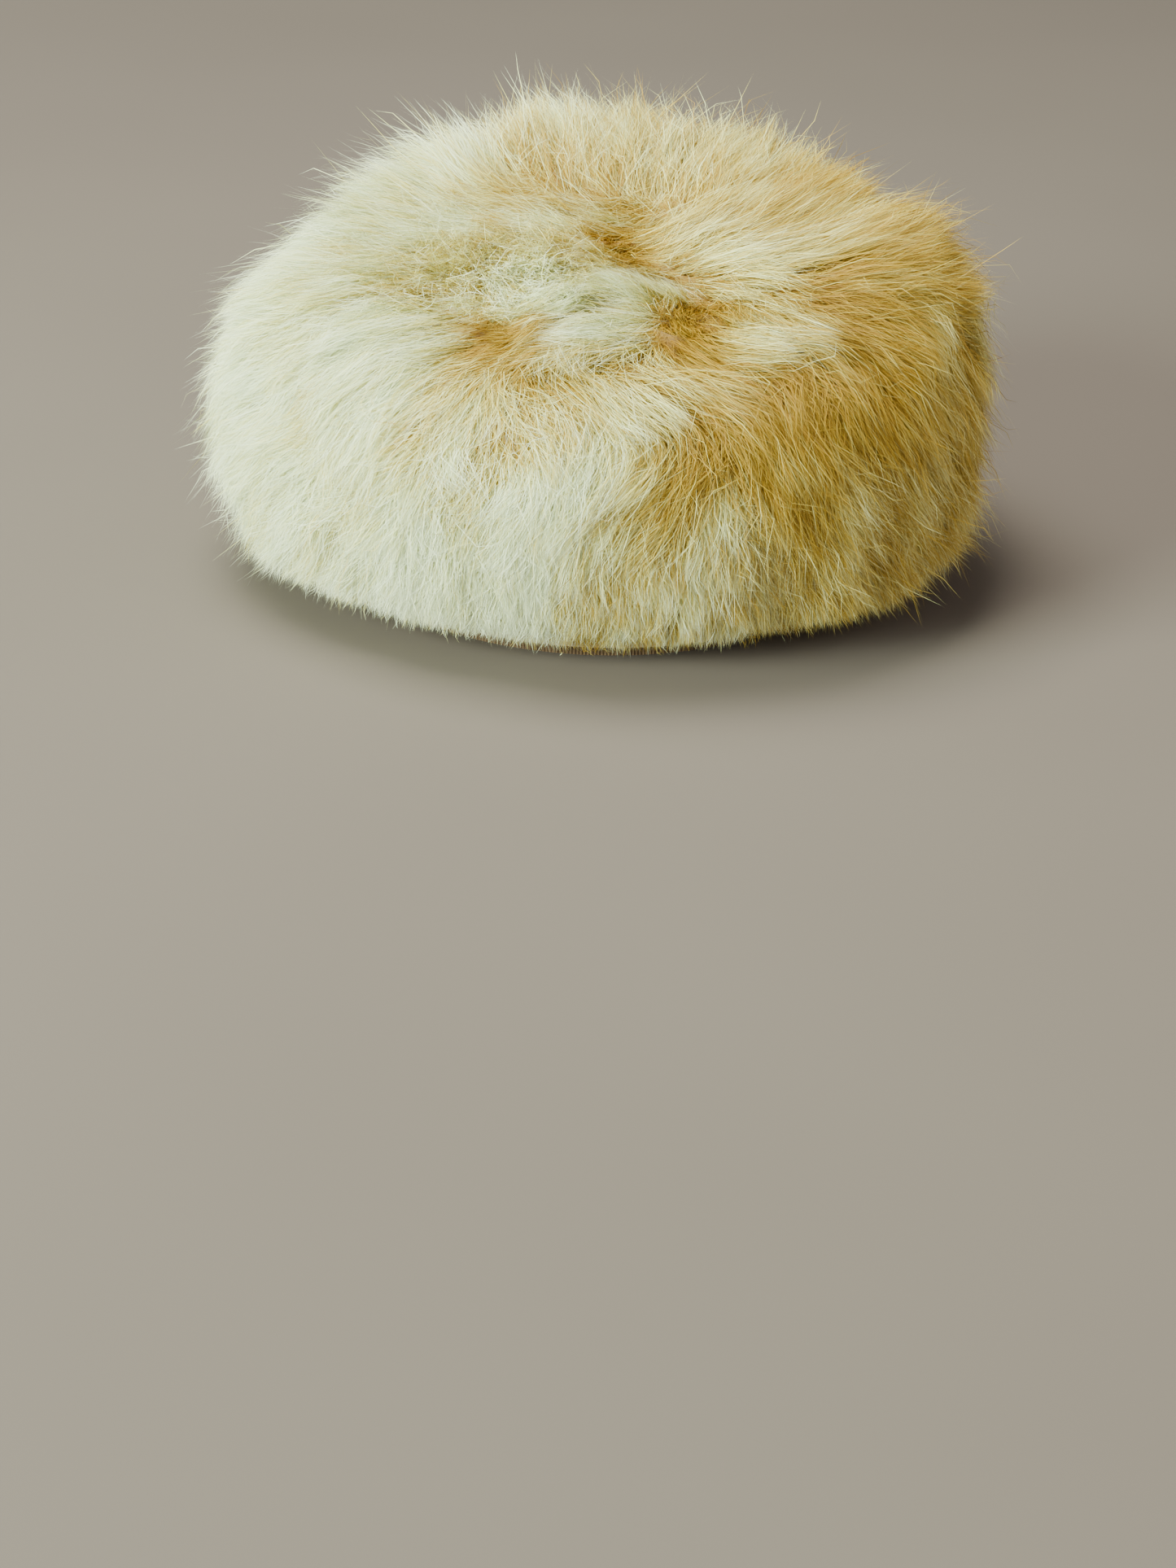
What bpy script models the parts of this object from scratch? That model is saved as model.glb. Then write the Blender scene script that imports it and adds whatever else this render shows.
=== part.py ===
"""A wide, round fur hat: a soft pillbox of long cream fur.

Two panels of furred skin, a side and a crown, meet along an oval seam, and a
brown band lines the head opening. The fur of each panel is a thick backing
that follows the skin, with leaning locks drawn out of it.

Lengths are in metres. +Z is up and the front of the hat faces -Y. The hat
stands on the lower edge of its band, on the plane Z = 0.
"""

import math
import random
from collections import namedtuple

import bmesh
import bpy
from mathutils import Vector

# Head opening, measured inside the band
OPENING_WIDTH = 0.166
OPENING_DEPTH = 0.190

# Brown band that lines the opening
BAND_WALL = 0.0015
BAND_HEIGHT = 0.024
LAP_END_DEG = 302.5  # where the band's outer end stops, right of the front
LAP_LENGTH = 0.018
LAP_STEP = 0.0045  # how much higher the covered end sits
STEP_RUN = 0.055  # the length over which that end comes down to the floor

# Skin of the two panels, measured on its outer side
SKIN_WALL = 0.0018
BELLY_WIDTH = 0.219
BELLY_DEPTH = 0.238
RIM_LIFT = 0.0035  # from the band's lower edge to the skin's
SIDE_HEIGHT = 0.090
CROWN_RISE = 0.012
RIGHT_RISE = 0.007  # the soft crown stands higher at the right
BACK_RISE = 0.008  # and at the back

# Fur
BACKING_DEPTH = 0.016
LOCK_HEIGHT = 0.009
LOCK_LEAN = 0.011
RUFFLE = 0.0022  # how far the corners between locks are shifted at random
FLOOR_CLEARANCE = 0.0012

# Clearances
SKIN_GAP = 0.0004  # between a skin and its fur
SEAM_GAP = 0.0006  # between the two panels
BAND_GAP = 0.0006  # between the band and the skin, and inside the lap

# Share of a panel, next to the seam, in which its edge turns to meet the other panel's
SEAM_TURN = 0.2

# Resolution
SIDE_COLUMNS = 48
SIDE_ROWS = 7
CROWN_RINGS = 6
BAND_COLUMNS = 64

# Sections of the side from the rim to the seam. out goes from 0, at the rim's
# oval, to 1, at the belly's; up is a share of SIDE_HEIGHT, and fur a share of
# the fur's full depth.
SideRow = namedtuple("SideRow", "name out up fur")
SIDE_SECTIONS = (
    SideRow("rim", 0.00, 0.00, 0.20),
    SideRow("turn", 0.12, 0.09, 0.60),
    SideRow("under", 0.43, 0.23, 1.00),
    SideRow("lower_bend", 0.80, 0.41, 0.95),
    SideRow("belly", 1.00, 0.61, 0.80),
    SideRow("upper_bend", 0.88, 0.80, 0.80),
    SideRow("shoulder", 0.47, 0.93, 0.80),
    SideRow("seam", 0.00, 1.00, 0.80),
)

# Sections of the crown from its centre to the seam. up is a share of
# CROWN_RISE, and fur a share of the fur's full depth.
CrownRow = namedtuple("CrownRow", "name up fur")
CROWN_SECTIONS = (
    CrownRow("centre", 1.00, 0.60),
    CrownRow("inner", 0.90, 0.65),
    CrownRow("outer", 0.55, 0.75),
    CrownRow("seam", 0.00, 0.80),
)

# Tufts that stand out of the fur and hollows in it. x, y and z are shares of
# the belly's half width, its half depth and SIDE_HEIGHT, spread is a share of
# the belly's half width, and change a share of BACKING_DEPTH.
Tuft = namedtuple("Tuft", "name x y z spread change")
TUFTS = (
    Tuft("back_crest", -0.15, 0.68, 1.10, 0.36, 0.75),
    Tuft("back_crest_left", -0.52, 0.48, 1.05, 0.25, 0.30),
    Tuft("back_crest_right", 0.40, 0.60, 1.10, 0.20, 0.25),
    Tuft("left_shoulder", -0.80, 0.05, 0.90, 0.28, 0.25),
    Tuft("right_shoulder", 0.82, 0.05, 0.95, 0.26, 0.45),
    Tuft("centre_hollow", 0.08, 0.08, 1.10, 0.14, -0.70),
    Tuft("left_hollow", -0.26, -0.46, 1.05, 0.13, -0.80),
    Tuft("right_hollow", 0.27, -0.38, 1.05, 0.15, -0.80),
    Tuft("front_swell", 0.05, -1.00, 0.70, 0.35, 0.18),
    Tuft("left_swell", -1.00, -0.30, 0.45, 0.35, 0.15),
    Tuft("front_hem", 0.02, -0.95, 0.10, 0.50, -0.60),
    Tuft("left_hem", -0.90, -0.30, 0.12, 0.45, 0.25),
    Tuft("right_hem", 0.95, -0.20, 0.15, 0.50, 0.35),
)

# How the fur is combed. Each row turns the hair near its place, x, y, z and
# spread as in TUFTS, towards a direction. Elsewhere it runs outwards and down.
Combing = namedtuple("Combing", "name x y z spread towards")
COMBINGS = (
    Combing("front_sweep", 0.15, -1.00, 0.70, 0.45, (-0.7, 0.0, -0.7)),
    Combing("front_left", -0.60, -0.80, 0.50, 0.40, (-0.8, 0.0, -0.5)),
    Combing("front_right", 0.75, -0.70, 0.60, 0.40, (0.5, 0.0, -0.8)),
    Combing("crown_swath", 0.00, -0.40, 1.10, 0.30, (1.0, -0.2, 0.0)),
    Combing("crown_right", 0.50, 0.00, 1.10, 0.35, (0.9, -0.4, 0.0)),
    Combing("back_crest", 0.00, 0.70, 1.10, 0.35, (0.1, 0.5, 0.8)),
)

# A place on a panel: a point of its surface, the direction out of it, and the
# share of the fur's full depth there
Spot = namedtuple("Spot", "point normal fur")

RIM_WIDTH = OPENING_WIDTH + 2 * (BAND_WALL + BAND_GAP + SKIN_WALL)
RIM_DEPTH = OPENING_DEPTH + 2 * (BAND_WALL + BAND_GAP + SKIN_WALL)
SEAM_OUT = SIDE_SECTIONS[-1].out
HEXAGON_SIDES = [math.radians(degrees) for degrees in (0, 60, 120)]


def along(sections, column, place):
    """A column of a table of sections at place, from 0 to 1, smooth between its rows."""
    values = [getattr(row, column) for row in sections]
    last = len(values) - 1
    step = min(int(place * last), last - 1)
    part = place * last - step
    before, start, end, after = (values[max(0, min(last, step + k))] for k in (-1, 0, 1, 2))
    leaving, arriving, rise = (end - before) / 2, (after - start) / 2, end - start
    bend = leaving + arriving - 2 * rise
    return start + part * (leaving + part * (rise - leaving - bend + part * bend))


def eased(share):
    """0 below 0, 1 above 1, and smooth between."""
    share = max(0.0, min(1.0, share))
    return share * share * (3 - 2 * share)


def oval(out, p, q):
    """x and y at shares p and q of the oval that lies out of the way from the rim's to the belly's."""
    width = RIM_WIDTH + out * (BELLY_WIDTH - RIM_WIDTH)
    depth = RIM_DEPTH + out * (BELLY_DEPTH - RIM_DEPTH)
    return width / 2 * p, depth / 2 * q


def lifted(x, y, up):
    """The height at x and y, where up goes from 0 at the rim to 1 at the seam."""
    lean = RIGHT_RISE * x / (BELLY_WIDTH / 2) + BACK_RISE * y / (BELLY_DEPTH / 2)
    return RIM_LIFT + up * (SIDE_HEIGHT + lean)


def side_surface(turn, height):
    """A point of the side panel, where height goes from 0 at the rim to 1 at the seam."""
    x, y = oval(along(SIDE_SECTIONS, "out", height), math.cos(turn), math.sin(turn))
    return Vector((x, y, lifted(x, y, along(SIDE_SECTIONS, "up", height))))


def crown_surface(p, q):
    """A point of the crown panel, p and q being shares of the seam's oval."""
    x, y = oval(SEAM_OUT, p, q)
    rise = CROWN_RISE * along(CROWN_SECTIONS, "up", math.hypot(p, q))
    return Vector((x, y, lifted(x, y, 1.0) + rise))


def band_surface(place, height):
    """A point of the band's outer side. The strip starts under its own end and winds once round."""
    quarter_run = (OPENING_WIDTH + OPENING_DEPTH) / 4
    sweep = math.tau + LAP_LENGTH / quarter_run
    turn = math.radians(LAP_END_DEG) + (place - 1) * sweep
    past_lap = place * sweep * quarter_run - LAP_LENGTH
    outside = OPENING_WIDTH / 2 + BAND_WALL
    inset = (BAND_WALL + BAND_GAP) * (1 - eased(past_lap / LAP_LENGTH))
    lift = LAP_STEP * (1 - eased(past_lap / STEP_RUN))
    x = (outside - inset) * math.cos(turn)
    y = (outside - inset + (OPENING_DEPTH - OPENING_WIDTH) / 2) * math.sin(turn)
    return Vector((x, y, lift + height * (BAND_HEIGHT - lift)))


def outward(surface, a, b):
    """The direction out of a surface at a and b."""
    step = 1e-3
    across = surface(a + step, b) - surface(a - step, b)
    upward = surface(a, b + step) - surface(a, b - step)
    return across.cross(upward).normalized()


def seam_normal(turn):
    """The direction that both panels face at the seam, so that their edges meet squarely."""
    side = outward(side_surface, turn, 1.0)
    crown = outward(crown_surface, math.cos(turn), math.sin(turn))
    return (side + crown).normalized()


def side_spot(a, b):
    """A place on the side. Each row of the grid is shifted by half a column from the last."""
    turn = math.tau * (a + 0.5 * b * SIDE_ROWS / SIDE_COLUMNS)
    height = b * (1 - SEAM_GAP / (2 * SIDE_HEIGHT))
    near_seam = eased(1 - (1 - height) / SEAM_TURN)
    normal = outward(side_surface, turn, height).lerp(seam_normal(turn), near_seam)
    fur = along(SIDE_SECTIONS, "fur", height)
    return Spot(side_surface(turn, height), normal.normalized(), fur)


def crown_spot(a, b):
    """A place on the crown. a and b lie in a regular hexagon, which is drawn out to the seam's oval."""
    reach = max(abs(a * math.cos(turn) + b * math.sin(turn)) for turn in HEXAGON_SIDES)
    radius = reach / math.cos(math.pi / 6) * (1 - SEAM_GAP / BELLY_WIDTH)
    turn = math.atan2(b, a)
    p, q = radius * math.cos(turn), radius * math.sin(turn)
    near_seam = eased(1 - (1 - radius) / SEAM_TURN)
    normal = outward(crown_surface, p, q).lerp(seam_normal(turn), near_seam)
    fur = along(CROWN_SECTIONS, "fur", radius)
    return Spot(crown_surface(p, q), normal.normalized(), fur)


def band_spot(a, b):
    """A place on the band, which has no fur."""
    return Spot(band_surface(a, b), outward(band_surface, a, b), 0.0)


def grid_sheet(columns, rows):
    """A flat grid whose corners are (0, 0) and (1, 1)."""
    bm = bmesh.new()
    bmesh.ops.create_grid(bm, x_segments=columns, y_segments=rows, size=0.5)
    bmesh.ops.translate(bm, verts=bm.verts, vec=(0.5, 0.5, 0.0))
    return bm


def hexagon_sheet(rings):
    """A flat regular hexagon of triangles, with its corners one from the centre."""
    bm = bmesh.new()
    bmesh.ops.create_circle(bm, cap_ends=True, cap_tris=True, segments=6, radius=1.0)
    bmesh.ops.subdivide_edges(bm, edges=bm.edges, cuts=rings - 1, use_grid_fill=True)
    return bm


def closed_wall(bm, spot_at, inner_depth, outer_depth):
    """Turns a flat sheet into a wall between two depths over a surface, and gives its outer faces."""
    kept = bm.verts.layers.float_vector.new("kept")
    kept_depth = bm.verts.layers.float.new("depth")
    for vert in bm.verts:
        vert[kept] = vert.co

    def lay(verts, depth):
        for vert in verts:
            spot = spot_at(vert[kept].x, vert[kept].y)
            vert[kept_depth] = depth(spot)
            vert.co = spot.point + vert[kept_depth] * spot.normal

    lay(bm.verts, inner_depth)
    bmesh.ops.remove_doubles(bm, verts=bm.verts, dist=1e-6)
    drawn = bmesh.ops.extrude_face_region(bm, geom=bm.faces, use_keep_orig=True)["geom"]
    lay([part for part in drawn if isinstance(part, bmesh.types.BMVert)], outer_depth)
    return [part for part in drawn if isinstance(part, bmesh.types.BMFace)]


def nearness(row, point):
    """From 1 at the place of a row of TUFTS or COMBINGS to 0 far from it."""
    x, y = row.x * BELLY_WIDTH / 2, row.y * BELLY_DEPTH / 2
    place = Vector((x, y, RIM_LIFT + row.z * SIDE_HEIGHT))
    distance = (point - place).length / (row.spread * BELLY_WIDTH / 2)
    return math.exp(-distance * distance)


def backing_depth(spot):
    """Depth of the fur's backing over a place."""
    change = sum(tuft.change * nearness(tuft, spot.point) for tuft in TUFTS)
    return SKIN_GAP + spot.fur * BACKING_DEPTH * (1 + change)


def combed(point, normal):
    """The direction along the surface in which the hair lies at a point."""
    level = max(0.0, min(1.0, normal.z))
    away = Vector((point.x, point.y, 0.0)).normalized()
    flow = level * away - (1 - level) * Vector((0, 0, 1))
    for combing in COMBINGS:
        flow += 2 * nearness(combing, point) * Vector(combing.towards)
    return (flow - flow.dot(normal) * normal).normalized()


def ruffle(faces, scatter):
    """Shifts the corners of the faces at random, apart from those on the panel's edges."""
    outer = set(faces)
    for vert in dict.fromkeys(vert for face in faces for vert in face.verts):
        turn, reach = math.tau * scatter.random(), RUFFLE * scatter.random()
        if outer.issuperset(vert.link_faces):
            across = vert.normal.orthogonal().normalized()
            upward = vert.normal.cross(across)
            vert.co += reach * (math.cos(turn) * across + math.sin(turn) * upward)


def draw_locks(bm, faces, scatter):
    """Draws each face out to a lock: a leaning pyramid that bends at its waist.

    A lock is smaller where the fur is shallow, and near the floor.
    """
    depth = bm.verts.layers.float["depth"]
    waist_size, waist_up, waist_along = 0.72, 0.62, 0.38
    turned, shortened = 0.5, 0.3
    tips = {}
    for face in bmesh.ops.extrude_discrete_faces(bm, faces=faces)["faces"]:
        centre, up = face.calc_center_median(), face.normal.copy()
        flow = combed(centre, up)
        flow += turned * scatter.uniform(-1, 1) * up.cross(flow)
        size = 1 - shortened * scatter.random()
        size *= min(1.0, sum(vert[depth] for vert in face.verts) / len(face.verts) / BACKING_DEPTH)
        size *= min(1.0, max(0.0, centre.z - FLOOR_CLEARANCE) / LOCK_LEAN)
        bend = size * (waist_up * LOCK_HEIGHT * up + waist_along * LOCK_LEAN * flow)
        for vert in face.verts:
            vert.co = centre + waist_size * (vert.co - centre) + bend
        tips[face] = centre + size * (LOCK_HEIGHT * up + LOCK_LEAN * flow)
    for face, tip in tips.items():
        bmesh.ops.poke(bm, faces=[face])["verts"][0].co = tip
    for vert in bm.verts:
        vert.co.z = max(vert.co.z, FLOOR_CLEARANCE)


def finished(name, bm, finish, collection):
    """The object of a finished bmesh, with its faces pointing out."""
    bmesh.ops.recalc_face_normals(bm, faces=bm.faces)
    mesh = bpy.data.meshes.new(name)
    bm.to_mesh(mesh)
    bm.free()
    mesh.materials.append(finish)
    mesh.shade_smooth()
    mesh.set_sharp_from_angle(angle=math.radians(40))
    made = bpy.data.objects.new(name, mesh)
    collection.objects.link(made)
    return made


def skin_panel(name, bm, spot_at, finish, collection):
    """A panel's skin, whose wall goes inwards from the panel's surface."""
    closed_wall(bm, spot_at, lambda spot: -SKIN_WALL, lambda spot: 0.0)
    return finished(name, bm, finish, collection)


def fur_panel(name, bm, spot_at, finish, collection, seed):
    """A panel's fur: a backing over the skin, each face of which is drawn out to a lock."""
    scatter = random.Random(seed)
    faces = closed_wall(bm, spot_at, lambda spot: SKIN_GAP, backing_depth)
    bm.normal_update()
    ruffle(faces, scatter)
    bm.normal_update()
    draw_locks(bm, faces, scatter)
    return finished(name, bm, finish, collection)


def rim_band(finish, collection):
    """The band: one strip with an open lap at the right of the front."""
    bm = grid_sheet(BAND_COLUMNS, 1)
    closed_wall(bm, band_spot, lambda spot: -BAND_WALL, lambda spot: 0.0)
    return finished("rim_band", bm, finish, collection)


def material(name, colour, roughness):
    """A plain Principled material."""
    made = bpy.data.materials.new(name)
    made.use_nodes = True
    shader = made.node_tree.nodes["Principled BSDF"]
    shader.inputs["Base Color"].default_value = (*colour, 1.0)
    shader.inputs["Roughness"].default_value = roughness
    shader.inputs["Metallic"].default_value = 0.0
    return made


def centre_over_origin(objects):
    """Moves the hat so that the middle of its outline is over the origin."""
    points = [vert.co for made in objects for vert in made.data.vertices]
    for axis in (0, 1):
        middle = (min(p[axis] for p in points) + max(p[axis] for p in points)) / 2
        for point in points:
            point[axis] -= middle


def main():
    for old in list(bpy.data.objects):
        bpy.data.objects.remove(old)
    hat = bpy.data.collections.new("fur_hat")
    bpy.context.scene.collection.children.link(hat)

    fur = material("fur", (0.84, 0.75, 0.47), 0.85)
    skin = material("skin", (0.72, 0.62, 0.47), 0.75)
    band = material("band", (0.19, 0.11, 0.06), 0.7)

    parts = [
        skin_panel("side_skin", grid_sheet(SIDE_COLUMNS, SIDE_ROWS), side_spot, skin, hat),
        skin_panel("crown_skin", hexagon_sheet(CROWN_RINGS), crown_spot, skin, hat),
        fur_panel("side_fur", grid_sheet(SIDE_COLUMNS, SIDE_ROWS), side_spot, fur, hat, seed=3),
        fur_panel("crown_fur", hexagon_sheet(CROWN_RINGS), crown_spot, fur, hat, seed=5),
        rim_band(band, hat),
    ]
    centre_over_origin(parts)


main()
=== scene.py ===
"""Looks of the fur hat: its hair, underfur, suede and tape, with light, floor and camera.

The hair follows a shell, a grid of directions from a point inside the hat. For each direction the shell
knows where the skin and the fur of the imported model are, and a place on it is a direction and a level,
from 0 on the skin to 1 on the fur's outside. Strokes seen in the photograph comb it.
"""
import math

import bpy
import numpy as np
from mathutils import Matrix, Vector
from mathutils.bvhtree import BVHTree


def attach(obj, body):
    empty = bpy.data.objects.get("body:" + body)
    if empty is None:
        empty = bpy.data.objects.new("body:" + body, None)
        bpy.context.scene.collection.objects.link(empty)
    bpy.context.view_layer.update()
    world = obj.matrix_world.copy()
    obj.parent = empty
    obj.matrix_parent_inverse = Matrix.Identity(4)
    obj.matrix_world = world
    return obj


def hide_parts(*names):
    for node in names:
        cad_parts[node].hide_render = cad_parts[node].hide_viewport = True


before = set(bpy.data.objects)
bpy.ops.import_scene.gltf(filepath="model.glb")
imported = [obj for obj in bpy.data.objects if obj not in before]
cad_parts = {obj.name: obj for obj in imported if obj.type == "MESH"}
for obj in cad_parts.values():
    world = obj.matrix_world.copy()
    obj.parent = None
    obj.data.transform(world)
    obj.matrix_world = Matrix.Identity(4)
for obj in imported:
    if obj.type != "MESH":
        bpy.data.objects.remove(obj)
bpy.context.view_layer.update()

# The photograph and its camera: pixels, metres and degrees
IMAGE_WIDTH = 1445
IMAGE_HEIGHT = 1927
FOCAL_PIXELS = 4727
SENSOR_MM = 36.0
CAMERA_DISTANCE = 1.30
CAMERA_ELEVATION = 18.0
CAMERA_ROLL = 2.0
AIM = Vector((0.0, 0.0, 0.06))
AIM_PIXEL_X = 738
AIM_PIXEL_Y = 465

# The shell's grid of directions, and how often it is smoothed
SHELL_CENTRE = (0.0004, -0.0030, 0.050)
AZIMUTHS = 288
POLARS = 132
LAST_POLAR = math.radians(126)
SKIN_SMOOTHING = 3
FUR_SMOOTHING = 4
SMALLEST_DEPTH = 0.002

# The hair's pieces, how many hairs there are of each kind, and a strand's steps, of which the mesh keeps
# a few points
HAIR_PIECES = ("hair_front", "hair_right", "hair_back", "hair_left", "hair_crown")
CLUMPS = 1600
TUFTS = 15000
LONG_A_PIECE = 18000
SHORT_A_PIECE = 34000
STEPS = 9
LONG_POINTS = (0, 3, 6, 9)
SHORT_POINTS = (0, 4, 9)
RIM_STEP = 6
TONE_STEP = 7

# Sizes in metres
STRAND_LENGTH = 0.028
STRAND_WIDTH = 0.00024
TUFT_RADIUS = 0.0030
CLUMP_REACH = 0.0055
WOBBLE = 0.0002
STROKE_REACH = 0.011

# Levels between the skin, 0, and the fur's outside, 1
SEAM_LEVEL = 0.06
BASE_LEVEL = 0.42
ROOT_LEVEL = 0.32
SPACING_LEVEL = 0.7
NORMAL_LEVEL = 0.9
TIP_LEVEL = 1.04
LOWEST_LEVEL = 0.62

# Heights in metres where roots and tips end, and the half axes of the rim
LOWEST_ROOT = 0.0065
LOWEST_TIP = 0.0010
HIGHEST_TIP = 0.1440
RIM_HALF_X = 0.083
RIM_HALF_Y = 0.095

# Hair over the band: how high up and how much it is shorter, its lowest height, how that rises away
# from the rim, and its raggedness
HEM_HEIGHT = 0.030
HEM_SHARE = 0.40
HEM_FLOOR = 0.0020
SIDE_RISE = 0.05
FRONT_RISE = 0.20
HEM_RAGGED = 0.004

# What the hair does where no stroke combs it, and how weak that is against a stroke
USUAL_WEIGHT = 0.015
USUAL_LIFT = 0.20
USUAL_TONE = 0.03
CROWN_TONE = -0.10
# Whiter on the left and more golden on the right: partly the fur's own colour, partly painted light on the
# lit left side and painted shade on the right
SIDE_TONE_LIGHT_AND_SHADE = -2.4
USUAL_CURL = 0.25
HEM_CURL = 0.35

# How far the hairs of each kind turn from the combed way, in radians
CLUMP_SPREAD = 0.40
TUFT_SPREAD = 0.24
STRAND_SPREAD = 0.22
LOOSE_SPREAD = 0.60

# How a hair bends: how fast it rises, how much higher a standing one ends, how much it hangs where the
# fur faces down, and how its guide pulls it
RISE_POWER = 1.7
LIFT_RISE = 0.55
HANG_SHARE = 0.6
HANG_DROP = 0.85
PULL_POWER = 1.3
PULL_SHARE = 0.45

# Shares of all strands: loose ones, and those that hang over the band
LOOSE_SHARE = 0.22
HANGING_SHARE = 0.14

# How much the tone changes from clump to clump and tuft to tuft, how much painted shade darkens a clump's
# edges against its lighter middle, and how much the tone changes from strand to strand
CLUMP_TONE = 0.15
TUFT_TONE = 0.13
PAINTED_CLUMP_SHADE = 0.24
STRAND_TONE = 0.36

# The map holds the place along a strand across and its tone upwards; half a strand's height on it
MAP_HALF = 0.004

# The paper sweep in metres: its front edge, where it bends up, the bend, its top and its half width
PAPER_FRONT = -2.2
PAPER_BEND = 1.0
PAPER_RADIUS = 1.2
PAPER_TOP = 3.2
PAPER_HALF_WIDTH = 3.0
PAPER_STEPS = 24
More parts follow.
